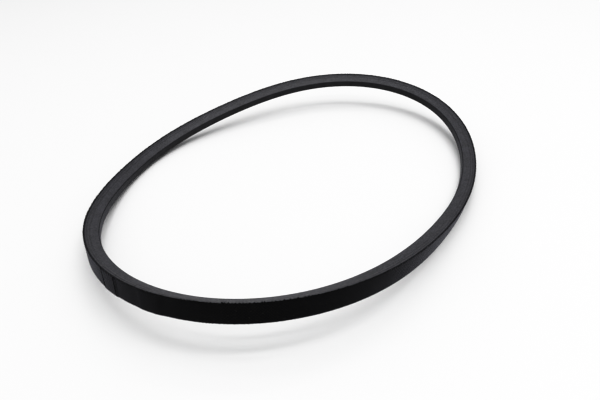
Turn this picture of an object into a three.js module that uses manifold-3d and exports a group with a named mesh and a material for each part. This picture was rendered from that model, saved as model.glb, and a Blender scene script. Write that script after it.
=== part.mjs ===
// Raw-edge V-belt, 10 mm wide across the back, 8 mm deep and 800 mm round its outside, lying
// on its side as a new belt does when it is put down: a long oval, slightly saddle-shaped.
//
// The belt is a bonded stack of endless bands round one helical cord. Every band is a stretch
// of the same wedge section swept round the same loop, so neighbours share their whole face.
//
// Millimetres, +Z up. +X is the loop's long axis, and the origin is at the centre of the belt's
// box, on the surface that it lies on.

import * as THREE from 'three';
import Module from 'manifold-3d';

const wasm = await Module();
wasm.setup();

const { degToRad } = THREE.MathUtils;

// Wedge section, square to the belt.
const TOP_WIDTH = 10;
const FLANK_ANGLE = degToRad(20);      // half of the 40 degree wedge
const BELT_LENGTH = 800;               // round the middle of the back

// Layers, as depths below the back.
const PLY = 0.5;                       // one ply of rubbered fabric
const DEPTH = {
  back: 0,
  innerPly: PLY,
  extensionRubber: 2 * PLY,
  upperGum: 1.6,
  lowerGum: 1.9,
  compressionRubber: 3.4,
  bottomPly: 7.5,
  base: 8,
};

// Tension cord: one continuous helix through the adhesion gum.
const CORD_RADIUS = 0.4;
const CORD_SIDES = 6;
const CORD_PITCH = 1.4;
const CORD_TURNS = 4.5;
const CORD_GAP = 0.15;                 // from the cord to the gum all round it
const CORD_DEPTH = DEPTH.lowerGum + CORD_GAP + CORD_RADIUS;
const GROOVE_FLOOR_SIDES = 3;
const GROOVE_OVERCUT = 0.3;            // the cutter stands this far out of the gum's top
const GROOVE_RUNOUT = degToRad(1);     // and runs this far past each end of the cord

// Shape of the loop. A wave adds size * cos(count * (angle - peak)) to the loop's mean value.
// In plan the sizes are shares of the mean radius.
const PLAN_WAVES = [
  { count: 2, size: 0.1425, peak: degToRad(0.3) },
  { count: 3, size: 0.0335, peak: degToRad(-20.2) },
  { count: 4, size: 0.0156, peak: degToRad(3.5) },
  { count: 5, size: 0.0051, peak: degToRad(3.9) },
];
const HEIGHT_WAVES = [
  { count: 1, size: 1.72, peak: degToRad(206.8) },
  { count: 2, size: 8.65, peak: degToRad(19.2) },
  { count: 3, size: 0.32, peak: degToRad(-1.9) },
];
// Lean of the section about the loop line: positive tips its upper edge towards the middle.
const LEAN_MEAN = degToRad(0.96);
const LEAN_WAVES = [
  { count: 1, size: degToRad(8.92), peak: degToRad(90.8) },
  { count: 2, size: degToRad(6.72), peak: degToRad(15.8) },
  { count: 3, size: degToRad(2.36), peak: degToRad(-23.5) },
  { count: 4, size: degToRad(2.16), peak: degToRad(19.9) },
];

// Lap joints of the two back plies. The lapped end rises in a short cut step and the buried
// end lets the surface down again over a longer slope.
const LAP_RISE = 0.25;
const LAP_STEP = degToRad(0.15);
const LAP_SLOPE = degToRad(0.8);
const OUTER_LAP = { start: degToRad(171.5), end: degToRad(176.1) };
const INNER_LAP = { start: degToRad(182.6), end: degToRad(187.5) };

const STATION_COUNT = 60;
const TANGENT_STEP = 1e-4;             // share of a turn to either side
const LENGTH_ROUNDS = 4;
const LENGTH_DIVISIONS = 2000;
const FULL_TURN = 2 * Math.PI;
const UP = new THREE.Vector3(0, 0, 1);

function waveSum(waves, angle) {
  return waves.reduce((sum, wave) => sum + wave.size * Math.cos(wave.count * (angle - wave.peak)), 0);
}

// The line round the middle of the back, one turn for t from 0 to 1.
class LoopLine extends THREE.Curve {
  constructor(meanRadius) {
    super();
    this.meanRadius = meanRadius;
  }

  getPoint(t, target = new THREE.Vector3()) {
    const angle = FULL_TURN * t;
    const radius = this.meanRadius * (1 + waveSum(PLAN_WAVES, angle));
    return target.set(radius * Math.cos(angle), radius * Math.sin(angle), waveSum(HEIGHT_WAVES, angle));
  }
}

// The loop whose line has the stated length. The height waves don't scale with the radius, so
// the radius is corrected a few times until the length settles.
function loopOfLength(length) {
  let radius = length / FULL_TURN;
  for (let round = 0; round < LENGTH_ROUNDS; round += 1) {
    const line = new LoopLine(radius);
    line.arcLengthDivisions = LENGTH_DIVISIONS;
    radius *= length / line.getLength();
  }
  return new LoopLine(radius);
}

const loop = loopOfLength(BELT_LENGTH);

// The section's own axes at an angle round the loop: inward, from the back towards the base,
// and across, from the lower flank to the upper one.
function sectionAt(angle) {
  const t = angle / FULL_TURN;
  const origin = loop.getPoint(t);
  const along = loop.getPoint(t + TANGENT_STEP).sub(loop.getPoint(t - TANGENT_STEP)).normalize();
  const upright = UP.clone().addScaledVector(along, -UP.dot(along)).normalize();
  const inward = upright.clone().cross(along);
  const lean = LEAN_MEAN + waveSum(LEAN_WAVES, angle);
  return {
    origin,
    inward: inward.clone().multiplyScalar(Math.cos(lean)).addScaledVector(upright, -Math.sin(lean)),
    across: upright.clone().multiplyScalar(Math.cos(lean)).addScaledVector(inward, Math.sin(lean)),
  };
}

function sectionPoint(section, depth, across) {
  const point = section.origin.clone().addScaledVector(section.inward, depth);
  return point.addScaledVector(section.across, across);
}

function halfWidth(depth) {
  return TOP_WIDTH / 2 - depth * Math.tan(FLANK_ANGLE);
}

function lapHeight(lap, angle) {
  const rising = THREE.MathUtils.clamp((angle - lap.start) / LAP_STEP, 0, 1);
  const falling = THREE.MathUtils.clamp((lap.end + LAP_SLOPE - angle) / LAP_SLOPE, 0, 1);
  return LAP_RISE * Math.min(rising, falling);
}

// Even stations round the loop, and one at each corner of the laps.
function stationAngles() {
  const even = Array.from({ length: STATION_COUNT }, (_, i) => (FULL_TURN * i) / STATION_COUNT);
  const corners = [OUTER_LAP, INNER_LAP].flatMap(
    (lap) => [lap.start, lap.start + LAP_STEP, lap.end, lap.end + LAP_SLOPE],
  );
  return [...even, ...corners].sort((a, b) => a - b);
}

// Joins rings of points, each counterclockwise against the direction of travel, into one closed
// surface. The first half of a ring's sides split one way and the rest the other way, so that
// the outer and inner faces of a band split alike and two bands that touch share their facets.
function sweep(rings, closed) {
  const sides = rings[0].length;
  const links = closed ? rings.length : rings.length - 1;
  const triangles = [];
  for (let i = 0; i < links; i += 1) {
    const here = i * sides;
    const next = ((i + 1) % rings.length) * sides;
    for (let a = 0; a < sides; a += 1) {
      const b = (a + 1) % sides;
      if (a < sides / 2) {
        triangles.push(here + a, here + b, next + b, here + a, next + b, next + a);
      } else {
        triangles.push(here + a, here + b, next + a, here + b, next + b, next + a);
      }
    }
  }
  if (!closed) {
    const last = (rings.length - 1) * sides;
    for (let k = 1; k < sides - 1; k += 1) {
      triangles.push(0, k + 1, k, last, last + k, last + k + 1);
    }
  }
  const geometry = new THREE.BufferGeometry();
  geometry.setFromPoints(rings.flat());
  geometry.setIndex(triangles);
  return geometry;
}

// An endless band between two depths, each a function of the angle.
function bandGeometry(outerDepth, innerDepth) {
  const rings = stationAngles().map((angle) => {
    const section = sectionAt(angle);
    const outer = outerDepth(angle);
    const inner = innerDepth(angle);
    return [
      sectionPoint(section, outer, -halfWidth(outer)),
      sectionPoint(section, inner, -halfWidth(inner)),
      sectionPoint(section, inner, halfWidth(inner)),
      sectionPoint(section, outer, halfWidth(outer)),
    ];
  });
  return sweep(rings, true);
}

function plainBand(outerDepth, innerDepth) {
  return bandGeometry(() => outerDepth, () => innerDepth);
}

// A [depth, across] outline carried along the cord's helix, past its two ends by runout.
function helixGeometry(outline, runout) {
  const turned = FULL_TURN * CORD_TURNS;
  const steps = Math.round(STATION_COUNT * CORD_TURNS);
  const angles = Array.from({ length: steps + 1 }, (_, i) => (turned * i) / steps);
  angles[0] -= runout;
  angles[steps] += runout;
  const rings = angles.map((angle) => {
    const section = sectionAt(angle);
    const middle = CORD_PITCH * (angle / FULL_TURN - CORD_TURNS / 2);
    return outline.map(([depth, across]) => sectionPoint(section, depth, middle + across));
  });
  return sweep(rings, false);
}

function arcPoints(radius, from, to, count) {
  return Array.from({ length: count + 1 }, (_, i) => {
    const angle = from + ((to - from) * i) / count;
    return [CORD_DEPTH + radius * Math.cos(angle), radius * Math.sin(angle)];
  });
}

function cordGeometry() {
  const outline = arcPoints(CORD_RADIUS, 0, FULL_TURN, CORD_SIDES).slice(0, CORD_SIDES);
  return helixGeometry(outline, 0);
}

// The lower gum, with an open channel along its top face that the cord lies in.
function groovedGumGeometry() {
  const halfGroove = CORD_RADIUS + CORD_GAP;
  const mouth = DEPTH.lowerGum - GROOVE_OVERCUT;
  const floor = arcPoints(halfGroove, -Math.PI / 2, Math.PI / 2, GROOVE_FLOOR_SIDES);
  const cutter = helixGeometry([[mouth, -halfGroove], ...floor, [mouth, halfGroove]], GROOVE_RUNOUT);
  const gum = toManifold(plainBand(DEPTH.lowerGum, DEPTH.compressionRubber));
  return fromManifold(gum.subtract(toManifold(cutter)));
}

function toManifold(geometry) {
  return new wasm.Manifold(new wasm.Mesh({
    numProp: 3,
    vertProperties: geometry.getAttribute('position').array,
    triVerts: new Uint32Array(geometry.getIndex().array),
  }));
}

function fromManifold(solid) {
  const { vertProperties, triVerts } = solid.getMesh();
  const geometry = new THREE.BufferGeometry();
  geometry.setAttribute('position', new THREE.BufferAttribute(vertProperties, 3));
  geometry.setIndex(new THREE.BufferAttribute(triVerts, 1));
  return geometry;
}

// The inner ply's lap lifts the outer ply over it, and the outer ply's own lap comes on top.
const innerPlyFace = (angle) => DEPTH.innerPly - lapHeight(INNER_LAP, angle);
const backFace = (angle) => DEPTH.back - lapHeight(INNER_LAP, angle) - lapHeight(OUTER_LAP, angle);

const fabric = { color: 0x1b1b1d, roughness: 0.95, metalness: 0 };
const rubber = { color: 0x3c3d41, roughness: 0.7, metalness: 0 };
const gum = { color: 0x303034, roughness: 0.6, metalness: 0 };
const cord = { color: 0xc9bfa6, roughness: 0.8, metalness: 0 };

const belt = new THREE.Group();

function addPiece(name, geometry, finish) {
  geometry.computeVertexNormals();
  const piece = new THREE.Mesh(geometry, new THREE.MeshStandardMaterial(finish));
  piece.name = name;
  belt.add(piece);
}

addPiece('outer_back_fabric', bandGeometry(backFace, innerPlyFace), fabric);
addPiece('inner_back_fabric', bandGeometry(innerPlyFace, () => DEPTH.extensionRubber), fabric);
addPiece('extension_rubber', plainBand(DEPTH.extensionRubber, DEPTH.upperGum), rubber);
addPiece('upper_adhesion_gum', plainBand(DEPTH.upperGum, DEPTH.lowerGum), gum);
addPiece('tension_cord', cordGeometry(), cord);
addPiece('lower_adhesion_gum', groovedGumGeometry(), gum);
addPiece('compression_rubber', plainBand(DEPTH.compressionRubber, DEPTH.bottomPly), rubber);
addPiece('bottom_fabric', plainBand(DEPTH.bottomPly, DEPTH.base), fabric);

const box = new THREE.Box3().setFromObject(belt);
const centre = box.getCenter(new THREE.Vector3());
belt.position.set(-centre.x, -centre.y, -box.min.z);

export default belt;
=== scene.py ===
import math

import bpy
import numpy as np
from mathutils import Matrix, Vector


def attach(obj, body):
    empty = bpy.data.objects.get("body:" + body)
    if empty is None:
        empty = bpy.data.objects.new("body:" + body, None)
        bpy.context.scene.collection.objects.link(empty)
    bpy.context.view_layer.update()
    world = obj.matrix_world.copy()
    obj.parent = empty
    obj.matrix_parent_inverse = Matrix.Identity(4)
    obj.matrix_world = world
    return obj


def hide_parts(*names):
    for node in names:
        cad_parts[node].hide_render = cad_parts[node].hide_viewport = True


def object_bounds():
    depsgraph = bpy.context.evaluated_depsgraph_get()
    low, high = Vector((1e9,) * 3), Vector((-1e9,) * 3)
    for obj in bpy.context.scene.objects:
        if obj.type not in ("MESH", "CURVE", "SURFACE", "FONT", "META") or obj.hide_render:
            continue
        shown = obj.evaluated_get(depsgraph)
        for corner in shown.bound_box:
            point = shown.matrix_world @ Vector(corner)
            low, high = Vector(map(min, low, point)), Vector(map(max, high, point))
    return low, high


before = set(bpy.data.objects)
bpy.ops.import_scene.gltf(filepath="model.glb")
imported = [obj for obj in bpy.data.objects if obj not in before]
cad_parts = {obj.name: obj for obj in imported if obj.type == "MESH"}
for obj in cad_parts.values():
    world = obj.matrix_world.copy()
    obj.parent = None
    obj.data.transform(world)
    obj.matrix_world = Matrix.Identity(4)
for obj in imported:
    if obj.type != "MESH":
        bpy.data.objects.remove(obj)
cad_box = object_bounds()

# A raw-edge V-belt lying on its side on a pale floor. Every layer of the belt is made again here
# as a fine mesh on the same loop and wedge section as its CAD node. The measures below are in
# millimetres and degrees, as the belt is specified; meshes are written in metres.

MM = 0.001

# Wedge section
TOP_WIDTH = 10.0
FLANK_ANGLE = math.radians(20.0)
BELT_LENGTH = 800.0

# Layers, as depths below the back
PLY = 0.5
EXTENSION_TOP = 1.0
UPPER_GUM_TOP = 1.6
LOWER_GUM_TOP = 1.9
COMPRESSION_TOP = 3.4
BOTTOM_PLY_TOP = 7.5
BASE = 8.0

# Tension cord, wound as a helix. Each strand takes the next one's place after the length of the
# twist, and the channel runs on past the cord's end by a small extra part of a turn.
CORD_RADIUS = 0.4
CORD_PITCH = 1.4
CORD_TURNS = 4.5
CORD_GAP = 0.15
CORD_TWIST = 3.2
STRANDS = 3
STRAND_RELIEF = 0.1
CHANNEL_EXTRA = 0.003
CORD_DEPTH = LOWER_GUM_TOP + CORD_GAP + CORD_RADIUS

# Loop: (count, size, peak in degrees) waves, in plan as shares of the mean radius, in height
# in millimetres and in lean in degrees
PLAN_WAVES = ((2, 0.1425, 0.3), (3, 0.0335, -20.2), (4, 0.0156, 3.5), (5, 0.0051, 3.9))
HEIGHT_WAVES = ((1, 1.72, 206.8), (2, 8.65, 19.2), (3, 0.32, -1.9))
LEAN_MEAN = 0.96
LEAN_WAVES = ((1, 8.92, 90.8), (2, 6.72, 15.8), (3, 2.36, -23.5), (4, 2.16, 19.9))

# Even stations round the loop in the CAD nodes, which have more at the ends of their laps
FRAME_STATIONS = 60

# Laps of the two back plies: where each starts and ends round the loop, in degrees. A lap rises
# over a step and falls over a slope, and a ply that lies over it softens both over the drape.
OUTER_LAP = (171.5, 176.1)
INNER_LAP = (182.6, 187.5)
LAP_RISE = 0.25
LAP_STEP = 0.15
LAP_SLOPE = 0.8
DRAPE = 2.0

# Seams where the laps end, as (degrees, depth of the furrow, half its width, how dark its painted
# shadow line is)
SEAMS = (
    (OUTER_LAP[0], 0.32, 0.8, 0.95),
    (OUTER_LAP[1], 0.22, 0.3, 0.6),
    (INNER_LAP[0], 0.06, 0.4, 0.45),
    (INNER_LAP[1], 0.05, 0.4, 0.35),
)

# Every seam wanders a little, and its furrow slopes over a share of its half width. A furrow deeper
# than the deep one has its own near-black material of painted shade, in each quad whose seam lies a
# little past its start.
SEAM_WANDER = 0.3
SEAM_WANDER_CELL = 1.2
FURROW_SHARE = 0.6
DEEP_SEAM = 0.1
SEAM_LOOK_AHEAD = 0.12

# Canvas: threads at 45 degrees to the belt. The count of threads round the loop sets the pitch.
THREADS_ROUND = 538
THREADS_PER_MM = THREADS_ROUND / BELT_LENGTH
BIAS = math.radians(45.0)

# Relief of the canvas: the weave on the back and base, a broad ripple, and the crowns that the
# inner ply presses into the rubber below it
WEAVE_RELIEF = 0.09
BASE_WEAVE_RELIEF = 0.045
CANVAS_RIPPLE = 0.03
CROWN_PRESS = 0.05
CROWN_SPACING = 1.5

# A thread's ridge: how round it is, how far its crossings lift and lower it, and how much more it
# stands out where two threads cross
RIDGE_POWER = 0.7
THREAD_LIFT = 0.38
CROSSING_SHARE = 0.15

# Edges of the back and base: how far each droops, how far the base's is set in, and the powers of
# the place across that bring droop, fray and the end of a furrow close to the edge
EDGE_DROOP = 0.1
DROOP_POWER = 14
FRAY_POWER = 12
FURROW_POWER = 24
BASE_CORNER = 0.14
BASE_CORNER_POWER = 10
BASE_CORNER_SHARE = 0.8
BASE_CORNER_SPOT = 1.03
BASE_INSET = 0.02

# Fray of the cut edges: the longest regular and stray thread stubs on each edge, where round the
# loop they are longest, in degrees, and their least share elsewhere. They taper toward the ply's
# inner face. The last four are shares: of a stub's length at least, and of a thread's spacing.
OUTER_UPPER_FRAY = (1.05, 0.5)
OUTER_LOWER_FRAY = (0.2, 0.12)
INNER_UPPER_FRAY = (0.14, 0.1)
INNER_LOWER_FRAY = (0.1, 0.08)
FRAY_WORST = 208.0
FRAY_LEAST = 0.3
FRAY_TAPER = 0.55
STUB_LEAST = 0.35
STUB_SHIFT = 0.4
STUB_WIDTH = 0.18
STUB_WIDTH_SPREAD = 0.13

# Ground flanks: a long ripple and fine scoring, as heights
FLANK_RIPPLE = 0.018
FLANK_SCORE = 0.01

# Noise grids, as columns across the belt and the column that the middle or the back lies on
NOISE_COLUMNS = 64
START_COLUMN = 20

# Fineness of the meshes, as stations round the loop, with extra ones near the seams, and the
# cord's steps and sides
OUTER_PLY_STATIONS = 2850
SEAM_REACH = (-0.75, 0.8)
SEAM_EXTRA_STATIONS = 12
PLY_STATIONS = 1600
RUBBER_STATIONS = 1600
GUM_STATIONS = 800
CORD_STEPS = 4000
CORD_SIDES = 12

# Belt map's second coordinate across a bonded face, which never shows
FACE_MAP = (-4.0, 0.0, 4.0)

# Colours, as linear red, green, blue and opacity: the darker first
BACK_CANVAS = ((0.0012, 0.0012, 0.0013, 1), (0.0045, 0.0045, 0.005, 1))
BASE_CANVAS = ((0.014, 0.014, 0.0155, 1), (0.024, 0.0242, 0.0265, 1))
OUTER_CUT_EDGE = ((0.009, 0.009, 0.0095, 1), (0.034, 0.034, 0.037, 1))
INNER_CUT_EDGE = ((0.012, 0.012, 0.0135, 1), (0.04, 0.04, 0.045, 1))
# Painted shade: the near-black canvas put down in the deep seams
SEAM_SHADE = ((0.0005, 0.0005, 0.0005, 1), (0.004, 0.004, 0.004, 1))
# Painted shade: the dark line along each seam's step
SEAM_SHADOW_LINE = (0.001, 0.001, 0.001, 1)
BODY_RUBBER = ((0.0105, 0.0103, 0.0132, 1), (0.041, 0.0405, 0.051, 1))
ADHESION_GUM = ((0.01, 0.0098, 0.0126, 1), (0.037, 0.0365, 0.046, 1))
CORD_YARN = ((0.36, 0.27, 0.15, 1), (0.55, 0.46, 0.3, 1))
LINT = (0.09, 0.085, 0.078, 1)
SHORT_FIBRE = (0.09, 0.09, 0.09, 1)
SHEEN_TINT = (0.79, 0.79, 0.9, 1)

# Grain of the surfaces, as noise scales per metre
YARN_GRAIN = 5200.0
CANVAS_CLOUD = 160.0
LINT_GRAIN = 1500.0
WANDER_GRAIN = 1100.0
CUT_GRAIN = 2600.0
RUBBER_MOTTLE = 260.0
RUBBER_GRAIN = 1150.0
RUBBER_GRIT = 3000.0
CORD_GRAIN = 6000.0

# Streaks in the ground rubber, as (length round the belt, width across it)
SCORE_STREAK = (26.0, 0.16)
FIBRE_STREAK = (0.5, 0.18)

# Camera, as seen from the middle of the loop
VIEW_AZIMUTH = math.radians(-58.17)
VIEW_ELEVATION = math.radians(32.57)
VIEW_ROLL = math.radians(2.62)
VIEW_DISTANCE = 339.35
VIEW_AIM = (-12.3, -10.8)
LENS = 33.06
SENSOR_WIDTH = 36.0

# Lights: long strips facing down, as (name, how far ahead of the loop, how far to its right, share
# of the floor's brightness). Their length runs across the view, and the room gives the rest.
STRIP_HEIGHT = 1200.0
STRIP_SIZE = (900.0, 84.0)
STRIPS = (
    ("strip_nearest", -756.0, 220.0, 0.1),
    ("strip_near_a", -300.0, 240.0, 0.085),
    ("strip_near_b", -200.0, 240.0, 0.085),
    ("strip_near_right", -200.0, 800.0, 0.05),
    ("strip_middle_a", 0.0, 240.0, 0.05),
    ("strip_middle_b", 100.0, 240.0, 0.055),
    ("strip_middle_c", 200.0, 240.0, 0.045),
    ("strip_far_left", 400.0, -300.0, 0.045),
    ("strip_farthest", 700.0, 240.0, 0.06),
)

# Floor: half its width, its albedo, and its brightness under the loop if no belt lay there
FLOOR_HALF = 6000.0
FLOOR_ALBEDO = 0.86
FLOOR_BRIGHTNESS = 1.28

# The room's brightness at the horizon and overhead: together they light the floor as much as an
# even room of 1 would
HORIZON = 0.68
OVERHEAD = HORIZON + (1 - HORIZON) * 1.5

# The camera's response: its gamma, the level it shows as white, and points that its curve passes
RESPONSE_GAMMA = 0.75
WHITE_LEVEL = 1.3
RESPONSE_CURVE = ((0.5, 0.62), (0.75, 0.9))


# ---------------------------------------------------------------- the loop

def wave_sum(waves, angle):
    """Sum of cosine waves, each a count round the loop, a size and a peak in degrees."""
    return sum(size * np.cos(count * (angle - math.radians(peak))) for count, size, peak in waves)


def line_points(mean_radius, angle):
    """Points, in millimetres, of the line round the middle of the back."""
    radius = mean_radius * (1 + wave_sum(PLAN_WAVES, angle))
    height = wave_sum(HEIGHT_WAVES, angle) + 0 * angle
    return np.stack([radius * np.cos(angle), radius * np.sin(angle), height], axis=-1)


def unit(vectors):
    """Vectors of the same directions with a length of one."""
    return vectors / np.linalg.norm(vectors, axis=-1, keepdims=True)


class Loop:
    """The line round the middle of the back, with the section's own axes all along it."""

    DIVISIONS = 20000
    TANGENT_STEP = 1e-5

    def __init__(self):
        self.table = np.linspace(0, 2 * math.pi, self.DIVISIONS + 1)
        self.mean_radius = BELT_LENGTH / (2 * math.pi)
        # The height waves don't grow with the radius, so a few rounds bring the length to the belt's
        for _ in range(4):
            self.mean_radius *= BELT_LENGTH / self.lengths()[-1]
        self.along_table = self.lengths()
        self.offset = np.zeros(3)

    def lengths(self):
        """Lengths along the line up to each angle of the table."""
        points = line_points(self.mean_radius, self.table)
        steps = np.linalg.norm(np.diff(points, axis=0), axis=1)
        return np.concatenate([[0.0], np.cumsum(steps)])

    def angle_at(self, along):
        """Angles at places along the belt, counting on past every full turn."""
        turns, rest = np.divmod(along, BELT_LENGTH)
        return np.interp(rest, self.along_table, self.table) + 2 * math.pi * turns

    def along_at(self, degrees):
        """Place along the belt at an angle."""
        return float(np.interp(math.radians(degrees), self.table, self.along_table))

    def axes(self, angle):
        """Origin, inward and across for an array of angles."""
        origin = line_points(self.mean_radius, angle)
        ahead = line_points(self.mean_radius, angle + self.TANGENT_STEP)
        behind = line_points(self.mean_radius, angle - self.TANGENT_STEP)
        forward = unit(ahead - behind)
        up = np.array([0.0, 0.0, 1.0])
        upright = unit(up - forward * forward[..., 2:3])
        inward = np.cross(upright, forward)
        lean = np.radians(LEAN_MEAN + wave_sum(LEAN_WAVES, angle))[..., None]
        return (
            origin,
            inward * np.cos(lean) - upright * np.sin(lean),
            upright * np.cos(lean) + inward * np.sin(lean),
        )

    def place(self, angle, depth, across):
        """Points, in metres in the row frame, at depths and places across. The angles are one
        per row of depth and across."""
        origin, inward, sideways = self.axes(angle)
        points = (
            origin[:, None, :]
            + depth[..., None] * inward[:, None, :]
            + across[..., None] * sideways[:, None, :]
        )
        return (points + self.offset) * MM


def half_width(depth):
    """Half the width of the wedge at a depth."""
    return TOP_WIDTH / 2 - depth * math.tan(FLANK_ANGLE)


def lap_height(lap, degrees):
    """How far a lap raises the outer face of its ply."""
    rising = np.clip((degrees - lap[0]) / LAP_STEP, 0, 1)
    falling = np.clip((lap[1] + LAP_SLOPE - degrees) / LAP_SLOPE, 0, 1)
    return LAP_RISE * np.minimum(rising, falling)


def draped_height(lap, degrees):
    """Height of a ply over the lap of the ply below it, whose ends it softens."""
    rising = np.clip((degrees - lap[0]) / DRAPE + 0.5, 0, 1)
    falling = np.clip((lap[1] + LAP_SLOPE / 2 - degrees) / DRAPE + 0.5, 0, 1)
    share = np.minimum(rising, falling)
    return LAP_RISE * share * share * (3 - 2 * share)


def align_with_frame(loop):
    """Sets the loop's offset so that its faceted outline fills the frame's box."""
    corners = [lap[k] + extra for lap in (OUTER_LAP, INNER_LAP)
               for k, extra in ((0, 0.0), (0, LAP_STEP), (1, 0.0), (1, LAP_SLOPE))]
    degrees = np.sort(np.concatenate([np.arange(FRAME_STATIONS) * 360 / FRAME_STATIONS, corners]))
    rise = lap_height(INNER_LAP, degrees) + lap_height(OUTER_LAP, degrees)
    depth = np.stack([-rise, -rise, np.full_like(rise, BASE), np.full_like(rise, BASE)], axis=1)
    across = half_width(depth) * np.array([-1, 1, 1, -1])
    points = loop.place(np.radians(degrees), depth, across).reshape(-1, 3)
    middle = (points.min(0) + points.max(0)) / 2
    wanted = (np.array(cad_box[0]) + np.array(cad_box[1])) / 2
    loop.offset = (wanted - middle) / MM


LOOP = Loop()
align_with_frame(LOOP)


# ---------------------------------------------------------------- fine surface shapes

def smooth_noise(along, across, cell, seed, stretch=1.0):
    """Noise from -1 to 1 that closes on itself round the belt. A cell is cell * stretch long."""
    rows = max(3, round(BELT_LENGTH / (cell * stretch)))
    grid = np.random.default_rng(seed).random((rows, NOISE_COLUMNS)) * 2 - 1
    x = along / BELT_LENGTH * rows
    y = across / cell + START_COLUMN
    ix, iy = np.floor(x).astype(int), np.floor(y).astype(int)
    fx, fy = x - ix, y - iy
    fx, fy = fx * fx * (3 - 2 * fx), fy * fy * (3 - 2 * fy)

    def corner(dx, dy):
        return grid[(ix + dx) % rows, (iy + dy) % NOISE_COLUMNS]

    low = corner(0, 0) * (1 - fx) + corner(1, 0) * fx
    high = corner(0, 1) * (1 - fx) + corner(1, 1) * fx
    return low * (1 - fy) + high * fy


def weave_height(along, across):
    """Height, 0 to 1, of a plain weave whose threads cross the belt both ways on the bias."""
    a = (along + across / math.tan(BIAS)) * THREADS_PER_MM
    b = (along - across / math.tan(BIAS)) * THREADS_PER_MM
    crossing = 0.5 + 0.5 * np.cos(math.pi * (a + b)) * np.cos(math.pi * (a - b))
    ridge_a = np.abs(np.cos(math.pi * a)) ** RIDGE_POWER
    ridge_b = np.abs(np.cos(math.pi * b)) ** RIDGE_POWER
    checker = np.cos(math.pi * a) * np.cos(math.pi * b)
    first = ridge_a * (1 - THREAD_LIFT + THREAD_LIFT * checker)
    second = ridge_b * (1 - THREAD_LIFT - THREAD_LIFT * checker)
    standing = 1 - CROSSING_SHARE + CROSSING_SHARE * crossing
    return np.clip(np.maximum(first, second) * standing, 0, 1)


def frayed_edge(along, seed, longest):
    """How far thread ends stand out of a cut edge: a regular stub for each thread of one
    direction, and stray ones between them for the threads of the other."""
    regular, stray = longest
    rng = np.random.default_rng(seed)
    spacing = BELT_LENGTH / THREADS_ROUND
    reach = np.zeros_like(along)
    for phase, least, most in ((0.0, STUB_LEAST * regular, regular), (0.5, 0.0, stray)):
        index = along / spacing + phase
        nearest = np.round(index).astype(int)
        length = least + rng.random(THREADS_ROUND) ** 1.6 * (most - least)
        shift = (rng.random(THREADS_ROUND) - 0.5) * STUB_SHIFT
        width = STUB_WIDTH + rng.random(THREADS_ROUND) * STUB_WIDTH_SPREAD
        k = nearest % THREADS_ROUND
        gap = (index - nearest - shift[k]) / width[k]
        reach = np.maximum(reach, length[k] * np.exp(-gap * gap))
    worn = 0.5 + 0.5 * np.cos(LOOP.angle_at(along) - math.radians(FRAY_WORST))
    return reach * (FRAY_LEAST + (1 - FRAY_LEAST) * worn)


def seam_wander(across, degrees):
    """How far the seam at an angle strays along the belt."""
    return SEAM_WANDER * smooth_noise(0 * across, across, SEAM_WANDER_CELL, int(degrees))


def in_seam(along, across):
    """Whether points lie down in one of the deep seams."""
    inside = np.zeros(np.broadcast(along, across).shape, bool)
    for degrees, deep, half, _ in SEAMS:
        if deep > DEEP_SEAM:
            away = along - LOOP.along_at(degrees) - seam_wander(across, degrees)
            inside |= np.abs(away) < half
    return inside


def seam_furrow(along, across):
    """How deep the furrows along the ends of the laps are, each wandering a little."""
    depth = 0 * along
    for degrees, deep, half, _ in SEAMS:
        away = along - LOOP.along_at(degrees) - seam_wander(across, degrees)
        slope = away / (FURROW_SHARE * half)
        depth = np.maximum(depth, deep * np.exp(-slope * slope))
    return depth


# ---------------------------------------------------------------- meshes

def bake_map(stations, widths):
    """Lays the band out as strips stacked in a square: u and v for each corner of each quad."""
    girth = np.concatenate([[0.0], np.cumsum(widths)])
    total = girth[-1]
    strips = max(1, round(math.sqrt(BELT_LENGTH / total)))
    gutter = 0.06
    link = np.arange(stations)
    strip = link * strips // stations
    first = -(-strip * stations // strips)
    after = -(-(strip + 1) * stations // strips)
    start = (link - first) / (after - first)
    end = (link + 1 - first) / (after - first)
    low = (strip[:, None] + gutter / 2 + (1 - gutter) * girth[None, :-1] / total) / strips
    high = (strip[:, None] + gutter / 2 + (1 - gutter) * girth[None, 1:] / total) / strips
    margin = 0.004
    start = margin + start * (1 - 2 * margin)
    end = margin + end * (1 - 2 * margin)
    spread = np.ones_like(low)
    u = np.stack([start[:, None] * spread, start[:, None] * spread,
                  end[:, None] * spread, end[:, None] * spread], axis=-1)
    v = np.stack([low, high, high, low], axis=-1)
    return np.stack([u, v], axis=-1)


def write_mesh(name, points, quads, slots, maps, materials):
    """A smooth piece of quads, with a material slot for each and its maps by name."""
    mesh = bpy.data.meshes.new(name)
    mesh.vertices.add(len(points))
    mesh.vertices.foreach_set("co", points.astype(np.float32).ravel())
    mesh.loops.add(quads.size)
    mesh.loops.foreach_set("vertex_index", quads.ravel().astype(np.int32))
    mesh.polygons.add(len(quads))
    mesh.polygons.foreach_set("loop_start", np.arange(0, quads.size, 4, dtype=np.int32))
    mesh.polygons.foreach_set("material_index", slots.astype(np.int32))
    mesh.polygons.foreach_set("use_smooth", np.ones(len(quads), bool))
    for map_name, places in maps.items():
        layer = mesh.uv_layers.new(name=map_name)
        layer.data.foreach_set("uv", places.astype(np.float32).ravel())
    for material in materials:
        mesh.materials.append(material)
    mesh.update()
    mesh.validate()
    piece = bpy.data.objects.new(name, mesh)
    bpy.context.scene.collection.objects.link(piece)
    return piece


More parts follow.
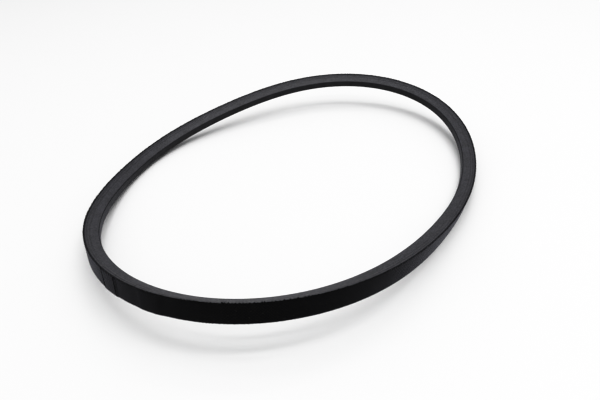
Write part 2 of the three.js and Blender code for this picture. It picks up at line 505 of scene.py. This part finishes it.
def ring_mesh(name, along, depth, across, side, place, materials):
    """An endless band from a closed profile. depth and across hold a row per station and a
    column per profile point, side the material slot of the quad after each of these points, and
    place the belt map's second coordinate for the two ends of each column's strip."""
    stations, sides = depth.shape
    points = LOOP.place(LOOP.angle_at(along), depth, across).reshape(-1, 3)
    i = np.arange(stations)[:, None]
    j = np.arange(sides)[None, :]
    here, beyond = i * sides, ((i + 1) % stations) * sides
    quads = np.stack([here + j, here + (j + 1) % sides, beyond + (j + 1) % sides, beyond + j], axis=-1)
    start = (along[:, None] + 0 * j).astype(float)
    end = (np.append(along[1:], along[0] + BELT_LENGTH)[:, None] + 0 * j).astype(float)
    u = np.stack([start, start, end, end], axis=-1)
    near = np.broadcast_to(place[:, 0], (stations, sides))
    far = np.broadcast_to(place[:, 1], (stations, sides))
    v = np.stack([near, far, far, near], axis=-1)
    mean_depth, mean_across = depth.mean(0), across.mean(0)
    widths = np.hypot(np.roll(mean_depth, -1) - mean_depth, np.roll(mean_across, -1) - mean_across)
    maps = {"belt": np.stack([u, v], axis=-1), "OFBake": bake_map(stations, widths)}
    slots = np.broadcast_to(side, (stations, sides)).reshape(-1)
    return write_mesh(name, points, quads.reshape(-1, 4), slots, maps, materials)


class Profile:
    """Builds a band's closed profile side by side: lower flank, inner face, upper flank and
    outer face, counterclockwise against the direction of travel."""

    def __init__(self, along):
        self.along = along
        self.depth, self.across, self.side, self.place = [], [], [], []

    def add(self, depth, across, slot, place):
        """Adds one side's points but for its last, which the next side starts with. depth,
        across and slot may have a row per station; place is every point's map coordinate."""
        shape = (len(self.along), len(place))
        depth, across = np.broadcast_to(depth, shape), np.broadcast_to(across, shape)
        self.depth.append(depth[:, :-1])
        self.across.append(across[:, :-1])
        self.side.append(np.broadcast_to(slot, (shape[0], shape[1] - 1)))
        self.place += list(zip(place[:-1], place[1:]))

    def mesh(self, name, materials):
        """The finished band."""
        return ring_mesh(
            name, self.along, np.concatenate(self.depth, 1), np.concatenate(self.across, 1),
            np.concatenate(self.side, 1), np.array(self.place), materials,
        )


def stations(count):
    """Even places along the belt."""
    return np.arange(count) * BELT_LENGTH / count


def seam_stations(count):
    """Even stations, with closer ones added across the seams."""
    extra = np.linspace(*SEAM_REACH, SEAM_EXTRA_STATIONS)
    near = [LOOP.along_at(seam[0]) + extra for seam in SEAMS]
    return np.sort(np.concatenate([stations(count)] + near))


def degrees_at(along):
    """Angles of places along the belt, in degrees and as a column."""
    return np.degrees(LOOP.angle_at(along))[:, None]


def inner_ply_depth(along):
    """Depth of the inner ply's outer face, which its own lap raises."""
    return PLY - lap_height(INNER_LAP, degrees_at(along))


def wavy_interface(along):
    """Where the canvas meets the rubber: thread crowns press into the rubber."""
    crowns = smooth_noise(along, 0 * along, CROWN_SPACING, seed=71)
    return EXTENSION_TOP + CROWN_PRESS * crowns[:, None]


def make_outer_ply(materials):
    """The outer ply: a woven back with its lap and seams, and frayed cut edges."""
    along = seam_stations(OUTER_PLY_STATIONS)
    column = along[:, None]
    rise = draped_height(INNER_LAP, degrees_at(along)) + lap_height(OUTER_LAP, degrees_at(along))
    lower_fray = frayed_edge(along, seed=11, longest=OUTER_LOWER_FRAY)[:, None]
    upper_fray = frayed_edge(along, seed=12, longest=OUTER_UPPER_FRAY)[:, None]
    outer_edge = half_width(0.0)
    profile = Profile(along)

    t = np.linspace(0, 1, 4)
    depth = -rise + (inner_ply_depth(along) + rise) * t
    profile.add(depth, -(half_width(depth) + lower_fray * (1 - FRAY_TAPER * t)), 1, t * PLY)

    t = np.linspace(-1, 1, 3)
    inner = inner_ply_depth(along) + 0 * t
    fray = np.where(t < 0, lower_fray, upper_fray) * (1 - FRAY_TAPER) * np.abs(t)
    profile.add(inner, (half_width(inner) + fray) * t, 1, t * outer_edge)

    t = np.linspace(1, 0, 4)
    depth = -rise + (inner_ply_depth(along) + rise) * t
    profile.add(depth, half_width(depth) + upper_fray * (1 - FRAY_TAPER * t), 1, t * PLY)

    t = np.linspace(1, -1, 26)
    reach = np.where(t < 0, lower_fray, upper_fray)
    across = (half_width(-rise) + reach * np.abs(t) ** FRAY_POWER) * t
    relief = WEAVE_RELIEF * (1 - weave_height(column, across))
    ripple = CANVAS_RIPPLE * smooth_noise(column + 0 * across, across, 4.0, seed=21, stretch=2.0)
    furrow = seam_furrow(column + 0 * across, across)
    inside = 1 - np.abs(t) ** FURROW_POWER
    droop = EDGE_DROOP * np.abs(t) ** DROOP_POWER
    depth = -rise + relief + (ripple + furrow) * inside + droop
    # Quads down in a deep seam take slot 2, the seam's painted shade
    painted_shade_quads = in_seam(column + SEAM_LOOK_AHEAD, (across[:, 1:] + across[:, :-1]) / 2)
    slot = np.where(painted_shade_quads, 2, 0)
    profile.add(depth, across, slot, t * outer_edge)
    return profile.mesh("outer_ply", materials)


def make_inner_ply(materials):
    """The second ply, whose cut edges show under the outer one, with its own lap."""
    along = stations(PLY_STATIONS)
    lower_fray = frayed_edge(along + 0.4, seed=13, longest=INNER_LOWER_FRAY)[:, None]
    upper_fray = frayed_edge(along + 0.4, seed=14, longest=INNER_UPPER_FRAY)[:, None]
    top, bottom = inner_ply_depth(along), wavy_interface(along)
    profile = Profile(along)
    t = np.linspace(0, 1, 4)
    depth = top + (bottom - top) * t
    profile.add(depth, -(half_width(depth) + lower_fray * (1 - t)), 0, t * PLY)
    t = np.linspace(-1, 1, 3)
    profile.add(bottom + 0 * t, half_width(bottom) * t, 0, t * TOP_WIDTH / 2)
    t = np.linspace(1, 0, 4)
    depth = top + (bottom - top) * t
    profile.add(depth, half_width(depth) + upper_fray * (1 - t), 0, t * PLY)
    t = np.linspace(1, -1, 3)
    fray = np.where(t < 0, lower_fray, upper_fray)
    profile.add(top + 0 * t, (half_width(top) + fray * np.abs(t)) * t, 0, t * TOP_WIDTH / 2)
    return profile.mesh("inner_ply", materials)


def ground_flank(along, depth, sign, seed):
    """Across for points on a ground flank, with its slight ripple and fine scoring."""
    level = depth + 0 * along[:, None]
    spot = along[:, None] + 0 * depth
    ripple = FLANK_RIPPLE * smooth_noise(spot, level, 3.0, seed, stretch=3.0)
    score = FLANK_SCORE * smooth_noise(spot, level, 0.5, seed + 1, stretch=12.0)
    return sign * (half_width(level) + ripple + score)


def plain_face(first, last):
    """Across for the three points of a bonded face, between the edges of two flanks."""
    return np.stack([first, 0 * first, last], 1)


def make_rubber_band(name, top, bottom, materials, rows, count, seed):
    """A rubber layer: ground flanks of the given number of rows, plain faces where bonded."""
    along = stations(count)
    profile = Profile(along)
    t = np.linspace(0, 1, rows + 1)
    top = top if isinstance(top, np.ndarray) else np.full((count, 1), top)
    depth = top + (bottom - top) * t
    lower = ground_flank(along, depth, -1, seed)
    upper = ground_flank(along, depth, 1, seed + 5)
    profile.add(depth, lower, 0, depth.mean(0))
    inner_face = np.full((count, 3), bottom)
    outer_face = top + np.zeros((count, 3))
    profile.add(inner_face, plain_face(lower[:, -1], upper[:, -1]), 0, FACE_MAP)
    profile.add(depth[:, ::-1], upper[:, ::-1], 0, depth.mean(0)[::-1])
    profile.add(outer_face, plain_face(upper[:, 0], lower[:, 0]), 0, FACE_MAP[::-1])
    return profile.mesh(name, materials)


def groove_depth(along, across):
    """Depth of the lower gum's top face: a round-bottomed channel follows each turn of cord."""
    level = np.full(across.shape, LOWER_GUM_TOP)
    groove = CORD_RADIUS + CORD_GAP
    angle = LOOP.angle_at(along)
    for turn in range(math.ceil(CORD_TURNS)):
        turns = angle / (2 * math.pi) + turn
        middle = CORD_PITCH * (turns - CORD_TURNS / 2)
        away = np.abs(across - middle[:, None])
        present = (turns <= CORD_TURNS + CHANNEL_EXTRA)[:, None]
        floor = CORD_DEPTH + np.sqrt(np.maximum(groove ** 2 - away ** 2, 0))
        level = np.where(present & (away < groove), np.maximum(level, floor), level)
    return level


def make_lower_gum(materials):
    """The gum that the cord is bedded in, with the cord's channel in its top face."""
    count = GUM_STATIONS
    along = stations(count)
    profile = Profile(along)
    top, bottom = LOWER_GUM_TOP, COMPRESSION_TOP
    t = np.linspace(0, 1, 4)
    depth = top + (bottom - top) * t + np.zeros((count, 1))
    lower, upper = ground_flank(along, depth, -1, seed=41), ground_flank(along, depth, 1, seed=46)
    profile.add(depth, lower, 0, depth.mean(0))
    inner_face = np.full((count, 3), bottom)
    profile.add(inner_face, plain_face(lower[:, -1], upper[:, -1]), 0, FACE_MAP)
    profile.add(depth[:, ::-1], upper[:, ::-1], 0, depth.mean(0)[::-1])
    t = np.linspace(1, -1, 61)
    across = np.where(t > 0, upper[:, :1], -lower[:, :1]) * t
    level = groove_depth(along, across)
    level[:, [0, -1]] = top
    profile.add(level, across, 0, t * TOP_WIDTH / 2)
    return profile.mesh("lower_gum", materials)


def make_bottom_ply(materials):
    """The ply of canvas on the base, with a woven face and ground edges."""
    count = PLY_STATIONS
    along = stations(count)
    profile = Profile(along)
    top, bottom = BOTTOM_PLY_TOP, BASE
    t = np.linspace(0, 1, 4)
    depth = top + (bottom - BASE_CORNER - top) * t + np.zeros((count, 1))
    lower, upper = ground_flank(along, depth, -1, seed=51), ground_flank(along, depth, 1, seed=56)
    profile.add(depth, lower, 1, depth.mean(0))
    t = np.linspace(-1, 1, 23)
    across = (half_width(bottom) - BASE_INSET) * t + np.zeros((count, 1))
    level = bottom - BASE_WEAVE_RELIEF * (1 - weave_height(along[:, None], across))
    level = level - BASE_CORNER * np.abs(t) ** BASE_CORNER_POWER * BASE_CORNER_SHARE
    level = np.concatenate([depth[:, -1:], level, depth[:, -1:]], 1)
    across = np.concatenate([lower[:, -1:], across, upper[:, -1:]], 1)
    spots = np.concatenate([[-BASE_CORNER_SPOT], t, [BASE_CORNER_SPOT]]) * half_width(bottom)
    profile.add(level, across, 0, spots)
    profile.add(depth[:, ::-1], upper[:, ::-1], 1, depth.mean(0)[::-1])
    outer_face = np.full((count, 3), top)
    profile.add(outer_face, plain_face(upper[:, 0], lower[:, 0]), 1, FACE_MAP[::-1])
    return profile.mesh("bottom_ply", materials)


def make_cord(material):
    """The tension cord: strands twisted together, wound as one helix."""
    sides, steps = CORD_SIDES, CORD_STEPS
    turned = np.linspace(0, CORD_TURNS * BELT_LENGTH, steps + 1)
    turn = np.linspace(0, 2 * math.pi, sides, endpoint=False)[None, :]
    strands = np.cos(STRANDS * turn + 2 * math.pi * turned[:, None] / CORD_TWIST)
    radius = CORD_RADIUS * (1 - STRAND_RELIEF + STRAND_RELIEF * strands)
    angle = LOOP.angle_at(turned)
    middle = CORD_PITCH * (angle / (2 * math.pi) - CORD_TURNS / 2)[:, None]
    depth = CORD_DEPTH + radius * np.cos(turn)
    across = middle + radius * np.sin(turn)
    points = LOOP.place(angle, depth, across).reshape(-1, 3)
    i, j = np.arange(steps)[:, None] * sides, np.arange(sides)[None, :]
    after = (j + 1) % sides
    quads = np.stack([i + j, i + after, i + sides + after, i + sides + j], axis=-1).reshape(-1, 4)
    return write_cord_mesh(points, quads, sides, steps, material)


def write_cord_mesh(points, quads, sides, steps, material):
    """Writes the cord's mesh, with a face closing each end."""
    mesh = bpy.data.meshes.new("cord")
    faces = [tuple(q) for q in quads.tolist()]
    last = steps * sides
    faces.append(tuple(range(sides))[::-1])
    faces.append(tuple(last + k for k in range(sides)))
    mesh.from_pydata(points.tolist(), [], faces)
    mesh.polygons.foreach_set("use_smooth", np.ones(len(faces), bool))
    mesh.materials.append(material)
    piece = bpy.data.objects.new("cord", mesh)
    bpy.context.scene.collection.objects.link(piece)
    return piece


# ---------------------------------------------------------------- materials

class Nodes:
    """A material's node tree, with short calls for the nodes that these materials use."""

    def __init__(self, name, roughness=0.6, specular=0.5):
        self.material = bpy.data.materials.new(name)
        self.material.use_nodes = True
        self.tree = self.material.node_tree
        self.surface = self.tree.nodes["Principled BSDF"]
        self.set("Roughness", roughness)
        self.set("Specular IOR Level", specular)

    def set(self, socket, value):
        """Links or sets a socket of the surface."""
        if isinstance(value, bpy.types.NodeSocket):
            self.tree.links.new(value, self.surface.inputs[socket])
        else:
            self.surface.inputs[socket].default_value = value

    def add(self, kind, inputs, **settings):
        """A new node with its settings, and with its inputs linked or set."""
        node = self.tree.nodes.new(kind)
        for key, value in settings.items():
            setattr(node, key, value)
        for key, value in inputs.items():
            if isinstance(value, bpy.types.NodeSocket):
                self.tree.links.new(value, node.inputs[key])
            else:
                node.inputs[key].default_value = value
        return node

    def belt(self):
        """Millimetres along and across the belt."""
        return self.add("ShaderNodeUVMap", {}, uv_map="belt").outputs["UV"]

    def place(self):
        """Metres in the piece's own space."""
        return self.add("ShaderNodeTexCoord", {}).outputs["Object"]

    def noise(self, vector, scale, detail, roughness=0.55):
        """Fractal noise about a half."""
        inputs = {"Vector": vector, "Scale": scale, "Detail": detail, "Roughness": roughness}
        return self.add("ShaderNodeTexNoise", inputs).outputs["Fac"]

    def math(self, operation, a, b=0.0):
        """The result of an operation on one or two values."""
        return self.add("ShaderNodeMath", {0: a, 1: b}, operation=operation).outputs[0]

    def fit(self, value, low, high, to_low=0.0, to_high=1.0):
        """A value carried from one range to another, and held between the new one's ends."""
        inputs = {"Value": value, "From Min": low, "From Max": high}
        inputs.update({"To Min": to_low, "To Max": to_high})
        return self.add("ShaderNodeMapRange", inputs).outputs["Result"]

    def blend(self, factor, first, second):
        """A colour between two others."""
        node = self.tree.nodes.new("ShaderNodeMix")
        node.data_type = "RGBA"
        for index, value in ((0, factor), (6, first), (7, second)):
            if isinstance(value, bpy.types.NodeSocket):
                self.tree.links.new(value, node.inputs[index])
            else:
                node.inputs[index].default_value = value
        return node.outputs[2]

    def bump(self, height, distance, strength, normal=None):
        """A normal tilted by a height that is a distance in millimetres at most."""
        inputs = {"Height": height, "Distance": distance * MM, "Strength": strength}
        if normal is not None:
            inputs["Normal"] = normal
        return self.add("ShaderNodeBump", inputs).outputs["Normal"]

    def streaks(self, length, width):
        """Coordinates in which noise runs in streaks round the belt, closing on themselves."""
        split = self.add("ShaderNodeSeparateXYZ", {"Vector": self.belt()}).outputs["Y"]
        far = self.add("ShaderNodeVectorMath", {0: self.place(), 1: (1 / length / MM,) * 3},
                       operation="MULTIPLY").outputs["Vector"]
        sideways = self.math("MULTIPLY", split, 1 / width)
        lift = self.add("ShaderNodeCombineXYZ", {"Z": sideways}).outputs["Vector"]
        return self.add("ShaderNodeVectorMath", {0: far, 1: lift}, operation="ADD").outputs["Vector"]


def canvas_material(name, colours, specular, sheen, seams=()):
    """Rubbered canvas: dark between the threads, a little paler and smoother on their crowns,
    with a painted shadow line along every seam."""
    n = Nodes(name, specular=specular)
    split = n.add("ShaderNodeSeparateXYZ", {"Vector": n.belt()})
    x, y = split.outputs["X"], split.outputs["Y"]
    phase_a = n.math("MULTIPLY", n.math("ADD", x, y), THREADS_PER_MM * math.pi)
    phase_b = n.math("MULTIPLY", n.math("SUBTRACT", x, y), THREADS_PER_MM * math.pi)
    first, second = n.math("COSINE", phase_a), n.math("COSINE", phase_b)
    checker = n.math("MULTIPLY", first, second)
    crowns = n.fit(n.math("ABSOLUTE", checker), 0.2, 1.0)
    yarn = n.noise(n.place(), YARN_GRAIN, 3.0)
    blotch = n.noise(n.place(), CANVAS_CLOUD, 4.0)
    worn = n.math("MULTIPLY", crowns, n.fit(yarn, 0.35, 0.7))
    cloud = n.fit(blotch, 0.35, 0.7, 0.75, 1.3)
    colour = n.blend(worn, *colours)
    clouded = n.add("ShaderNodeVectorMath", {0: colour, 1: cloud}, operation="MULTIPLY")
    colour = clouded.outputs["Vector"]
    lint = n.fit(n.noise(n.place(), LINT_GRAIN, 2.0), 0.66, 0.74)
    colour = n.blend(n.math("MULTIPLY", lint, 0.3), colour, LINT)
    wander = n.fit(n.noise(n.place(), WANDER_GRAIN, 2.0), 0.2, 0.8, -SEAM_WANDER, SEAM_WANDER)
    strayed = n.math("ADD", x, wander)
    # Painted shade: a dark line along each seam, in place of the shadow that its step casts
    for degrees, _, half, dark in seams:
        away = n.math("ABSOLUTE", n.math("SUBTRACT", strayed, LOOP.along_at(degrees)))
        line = n.fit(away, 0.5 * half, 1.6 * half, dark, 0.0)
        colour = n.blend(line, colour, SEAM_SHADOW_LINE)
    n.set("Base Color", colour)
    n.set("Roughness", n.fit(worn, 0.0, 1.0, 0.95, 0.72))
    n.set("Sheen Weight", sheen)
    n.set("Sheen Roughness", 0.38)
    n.set("Sheen Tint", SHEEN_TINT)
    fine = n.bump(yarn, 0.06, 0.8)
    n.set("Normal", n.bump(worn, 0.05, 0.6, fine))
    return n.material


def cut_canvas_material(name, colours):
    """A cut edge of canvas: thread ends, furry and dark."""
    n = Nodes(name, roughness=0.95, specular=0.12)
    grain = n.noise(n.place(), CUT_GRAIN, 4.0, 0.7)
    n.set("Base Color", n.blend(n.fit(grain, 0.4, 0.7), *colours))
    n.set("Normal", n.bump(grain, 0.1, 0.8))
    return n.material


def painted_seam_shade_material():
    """Painted shade down in a deep seam: near-black canvas, where little light reaches."""
    n = Nodes("canvas_seam_painted_shade", roughness=1.0, specular=0.0)
    grain = n.noise(n.place(), CUT_GRAIN, 4.0, 0.7)
    n.set("Base Color", n.blend(n.fit(grain, 0.4, 0.7), *SEAM_SHADE))
    return n.material


def ground_rubber_material(name, colours, seed):
    """Rubber cut and ground to the wedge: fine scoring round the belt, specks of short fibre."""
    n = Nodes(name, specular=0.5)
    score = n.noise(n.streaks(*SCORE_STREAK), 1.0, 4.0, 0.6)
    mottle = n.noise(n.place(), RUBBER_MOTTLE + seed, 4.0, 0.6)
    grain = n.noise(n.place(), RUBBER_GRAIN + seed, 2.0, 0.6)
    fibre = n.noise(n.streaks(*FIBRE_STREAK), 1.0, 1.0)
    specks = n.fit(fibre, 0.66, 0.74)
    broad = n.math("ADD", n.math("MULTIPLY", score, 0.5), n.math("MULTIPLY", mottle, 0.6))
    tone = n.fit(n.math("ADD", broad, n.math("MULTIPLY", grain, 0.9)), 0.8, 1.2)
    colour = n.blend(tone, *colours)
    n.set("Base Color", n.blend(n.math("MULTIPLY", specks, 0.5), colour, SHORT_FIBRE))
    n.set("Roughness", n.fit(grain, 0.3, 0.7, 0.56, 0.4))
    grit = n.bump(n.noise(n.place(), RUBBER_GRIT, 3.0), 0.04, 0.5)
    pits = n.bump(grain, 0.12, 0.6, grit)
    n.set("Normal", n.bump(score, 0.03, 0.5, pits))
    return n.material


def cord_material():
    """Pale polyester yarn."""
    n = Nodes("polyester_cord", roughness=0.6, specular=0.4)
    fibre = n.noise(n.place(), CORD_GRAIN, 3.0)
    n.set("Base Color", n.blend(n.fit(fibre, 0.3, 0.7), *CORD_YARN))
    n.set("Sheen Weight", 0.3)
    n.set("Normal", n.bump(fibre, 0.05, 0.6))
    return n.material


# ---------------------------------------------------------------- the belt

def build_belt():
    """Every piece of the belt, with the node that it replaces and its material slot."""
    canvas = canvas_material("back_canvas", BACK_CANVAS, specular=0.13, sheen=0.24, seams=SEAMS)
    base_canvas = canvas_material("base_canvas", BASE_CANVAS, specular=0.4, sheen=0.15)
    outer_cut = cut_canvas_material("outer_cut_edge", OUTER_CUT_EDGE)
    inner_cut = cut_canvas_material("inner_cut_edge", INNER_CUT_EDGE)
    rubber = ground_rubber_material("body_rubber", BODY_RUBBER, seed=0)
    gum = ground_rubber_material("adhesion_gum", ADHESION_GUM, seed=40)
    extension_top = wavy_interface(stations(RUBBER_STATIONS))
    outer_ply = make_outer_ply([canvas, outer_cut, painted_seam_shade_material()])
    inner_ply = make_inner_ply([inner_cut])
    extension = make_rubber_band(
        "extension_layer", extension_top, UPPER_GUM_TOP, [rubber],
        rows=2, count=RUBBER_STATIONS, seed=31)
    upper_gum = make_rubber_band(
        "upper_gum", UPPER_GUM_TOP, LOWER_GUM_TOP, [gum],
        rows=1, count=GUM_STATIONS, seed=36)
    cord = make_cord(cord_material())
    lower_gum = make_lower_gum([gum])
    body = make_rubber_band(
        "compression_body", COMPRESSION_TOP, BOTTOM_PLY_TOP, [rubber],
        rows=12, count=RUBBER_STATIONS, seed=61)
    bottom_ply = make_bottom_ply([base_canvas, inner_cut])
    return (
        (outer_ply, "outer_back_fabric", "back_fabric"),
        (inner_ply, "inner_back_fabric", "back_fabric"),
        (extension, "extension_rubber", "body_rubber"),
        (upper_gum, "upper_adhesion_gum", "adhesion_gum"),
        (cord, "tension_cord", "polyester_cord"),
        (lower_gum, "lower_adhesion_gum", "adhesion_gum"),
        (body, "compression_rubber", "body_rubber"),
        (bottom_ply, "bottom_fabric", "base_fabric"),
    )


for piece, node, slot in build_belt():
    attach(piece, "root")
    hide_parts(node)


# ---------------------------------------------------------------- floor, lights and camera

def make_floor():
    """A pale matt floor, which isn't part of the belt."""
    size = FLOOR_HALF * MM
    mesh = bpy.data.meshes.new("floor")
    corners = [(-size, -size, 0), (size, -size, 0), (size, size, 0), (-size, size, 0)]
    mesh.from_pydata(corners, [], [(0, 1, 2, 3)])
    floor = bpy.data.objects.new("floor", mesh)
    bpy.context.scene.collection.objects.link(floor)
    n = Nodes("pale_floor", roughness=0.8, specular=0.0)
    n.set("Base Color", (FLOOR_ALBEDO, FLOOR_ALBEDO, FLOOR_ALBEDO, 1))
    mesh.materials.append(n.material)


def view_direction():
    """Horizontal direction in which the camera looks."""
    return Vector((-math.sin(VIEW_AZIMUTH), math.cos(VIEW_AZIMUTH), 0))


def loop_middle():
    """The point of the floor that lies under the middle of the loop."""
    return Vector(LOOP.offset[:2].tolist() + [0.0]) * MM


def make_strip(name, ahead, aside, share):
    """A long area light facing down, which gives the floor under the loop the stated share."""
    # A lamp of power P, h above the floor, lights it by P / (pi h^2 (1 + slant)^2), and the floor
    # sends back its albedo's share of that over pi
    slant = (ahead ** 2 + aside ** 2) / STRIP_HEIGHT ** 2
    spread = math.pi ** 2 * (STRIP_HEIGHT * MM) ** 2 * (1 + slant) ** 2
    light = bpy.data.lights.new(name, "AREA")
    light.shape = "RECTANGLE"
    light.size = STRIP_SIZE[0] * MM
    light.size_y = STRIP_SIZE[1] * MM
    light.energy = share / FLOOR_ALBEDO * spread
    lamp = bpy.data.objects.new(name, light)
    forward = view_direction()
    right = Vector((forward.y, -forward.x, 0))
    away = forward * ahead + right * aside + Vector((0, 0, STRIP_HEIGHT))
    lamp.location = loop_middle() + away * MM
    lamp.rotation_euler = (0, 0, math.atan2(right.y, right.x))
    bpy.context.scene.collection.objects.link(lamp)


def make_world():
    """A white room, dimmer toward the horizon than overhead."""
    world = bpy.data.worlds.new("studio")
    bpy.context.scene.world = world
    world.use_nodes = True
    tree = world.node_tree
    backdrop = tree.nodes["Background"]
    direction = tree.nodes.new("ShaderNodeTexCoord").outputs["Generated"]
    split = tree.nodes.new("ShaderNodeSeparateXYZ")
    tree.links.new(direction, split.inputs[0])
    fall = tree.nodes.new("ShaderNodeMapRange")
    tree.links.new(split.outputs["Z"], fall.inputs["Value"])
    fall.inputs["To Min"].default_value = HORIZON
    fall.inputs["To Max"].default_value = OVERHEAD
    tree.links.new(fall.outputs["Result"], backdrop.inputs["Color"])
    share = FLOOR_BRIGHTNESS - sum(strip[3] for strip in STRIPS)
    backdrop.inputs["Strength"].default_value = share / FLOOR_ALBEDO


def make_camera():
    """The photo's camera, aimed at a point on the floor near the loop's middle."""
    data = bpy.data.cameras.new("camera")
    data.lens = LENS
    data.sensor_width = SENSOR_WIDTH
    data.clip_start = 0.01
    camera = bpy.data.objects.new("camera", data)
    bpy.context.scene.collection.objects.link(camera)
    forward = view_direction() * math.cos(VIEW_ELEVATION) - Vector((0, 0, math.sin(VIEW_ELEVATION)))
    aim = loop_middle() + Vector((VIEW_AIM[0], VIEW_AIM[1], 0)) * MM
    spot = aim - forward * VIEW_DISTANCE * MM
    level = forward.to_track_quat("-Z", "Y").to_matrix().to_4x4()
    camera.matrix_world = Matrix.Translation(spot) @ level @ Matrix.Rotation(-VIEW_ROLL, 4, "Z")
    bpy.context.scene.camera = camera


def set_response():
    """A camera's response: the brightest tones are rolled off, and the dark ones are deepened."""
    view = bpy.context.scene.view_settings
    view.view_transform = "Standard"
    view.gamma = RESPONSE_GAMMA
    view.use_curve_mapping = True
    curves = view.curve_mapping
    curves.white_level = (WHITE_LEVEL,) * 3
    tone = curves.curves[3]
    for place, level in RESPONSE_CURVE:
        tone.points.new(place, level)
    curves.update()


make_floor()
make_world()
for strip in STRIPS:
    make_strip(*strip)
make_camera()
set_response()
